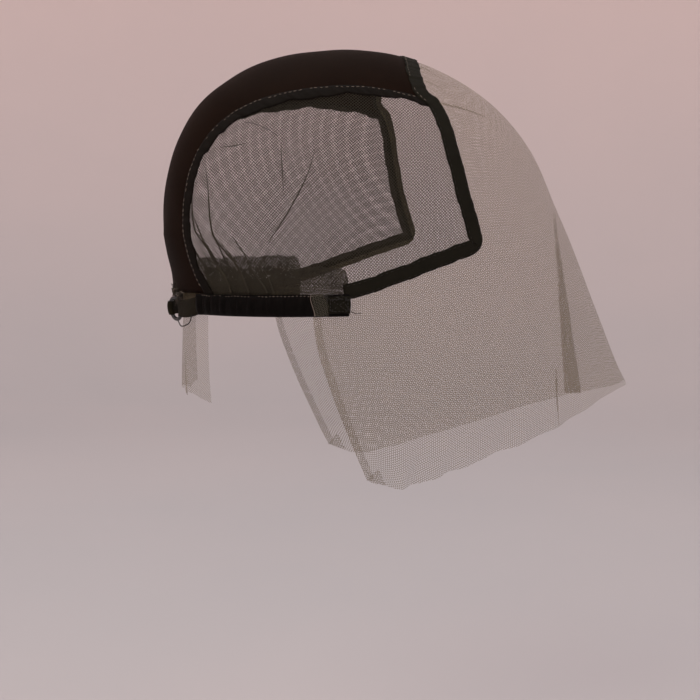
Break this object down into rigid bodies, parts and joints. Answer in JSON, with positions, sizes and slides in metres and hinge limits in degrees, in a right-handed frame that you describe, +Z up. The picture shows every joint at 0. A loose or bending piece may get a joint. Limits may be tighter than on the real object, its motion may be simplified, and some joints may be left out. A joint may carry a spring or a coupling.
{
  "type": "lace wig base",
  "caption": "Ventilating wig cap in its worn form: sheer lace front from ear to ear, stretch crown strip, net sides, ribbon bindings and an elastic nape band with a ring.",
  "frame": {"origin": "top of the head hollow, where the crown of the head meets the inside of the cap", "axes": "+X the way the wearer faces, +Y the wearer's left, +Z up"},
  "size_m": [0.235, 0.1598, 0.2095],
  "materials": {
    "lace": "sheer fine lace net, matt",
    "stretch_satin": "dark brown stretch cloth, soft sheen",
    "stretch_net": "dark open stretch net, matt",
    "ribbon": "black woven ribbon, matt",
    "satin_casing": "black satin, soft sheen",
    "elastic": "grey-olive braided elastic, matt",
    "ring_plastic": "black moulded plastic, gloss"
  },
  "bodies": {
    "root": {"front_lace": "lace", "crown_strip": "stretch_satin", "side_net_right": "stretch_net", "side_net_left": "stretch_net", "crown_seam_right": "ribbon", "crown_seam_left": "ribbon", "hairline_ribbon": "ribbon", "nape_net_right": "stretch_net", "nape_net_left": "stretch_net", "nape_casing_right": "satin_casing", "nape_casing_left": "satin_casing", "nape_strap_right": "elastic", "nape_strap_left": "elastic", "nape_ring": "ring_plastic", "ear_tab_right": "ribbon", "ear_tab_left": "ribbon", "nape_lace": "lace"}
  },
  "joints": []
}
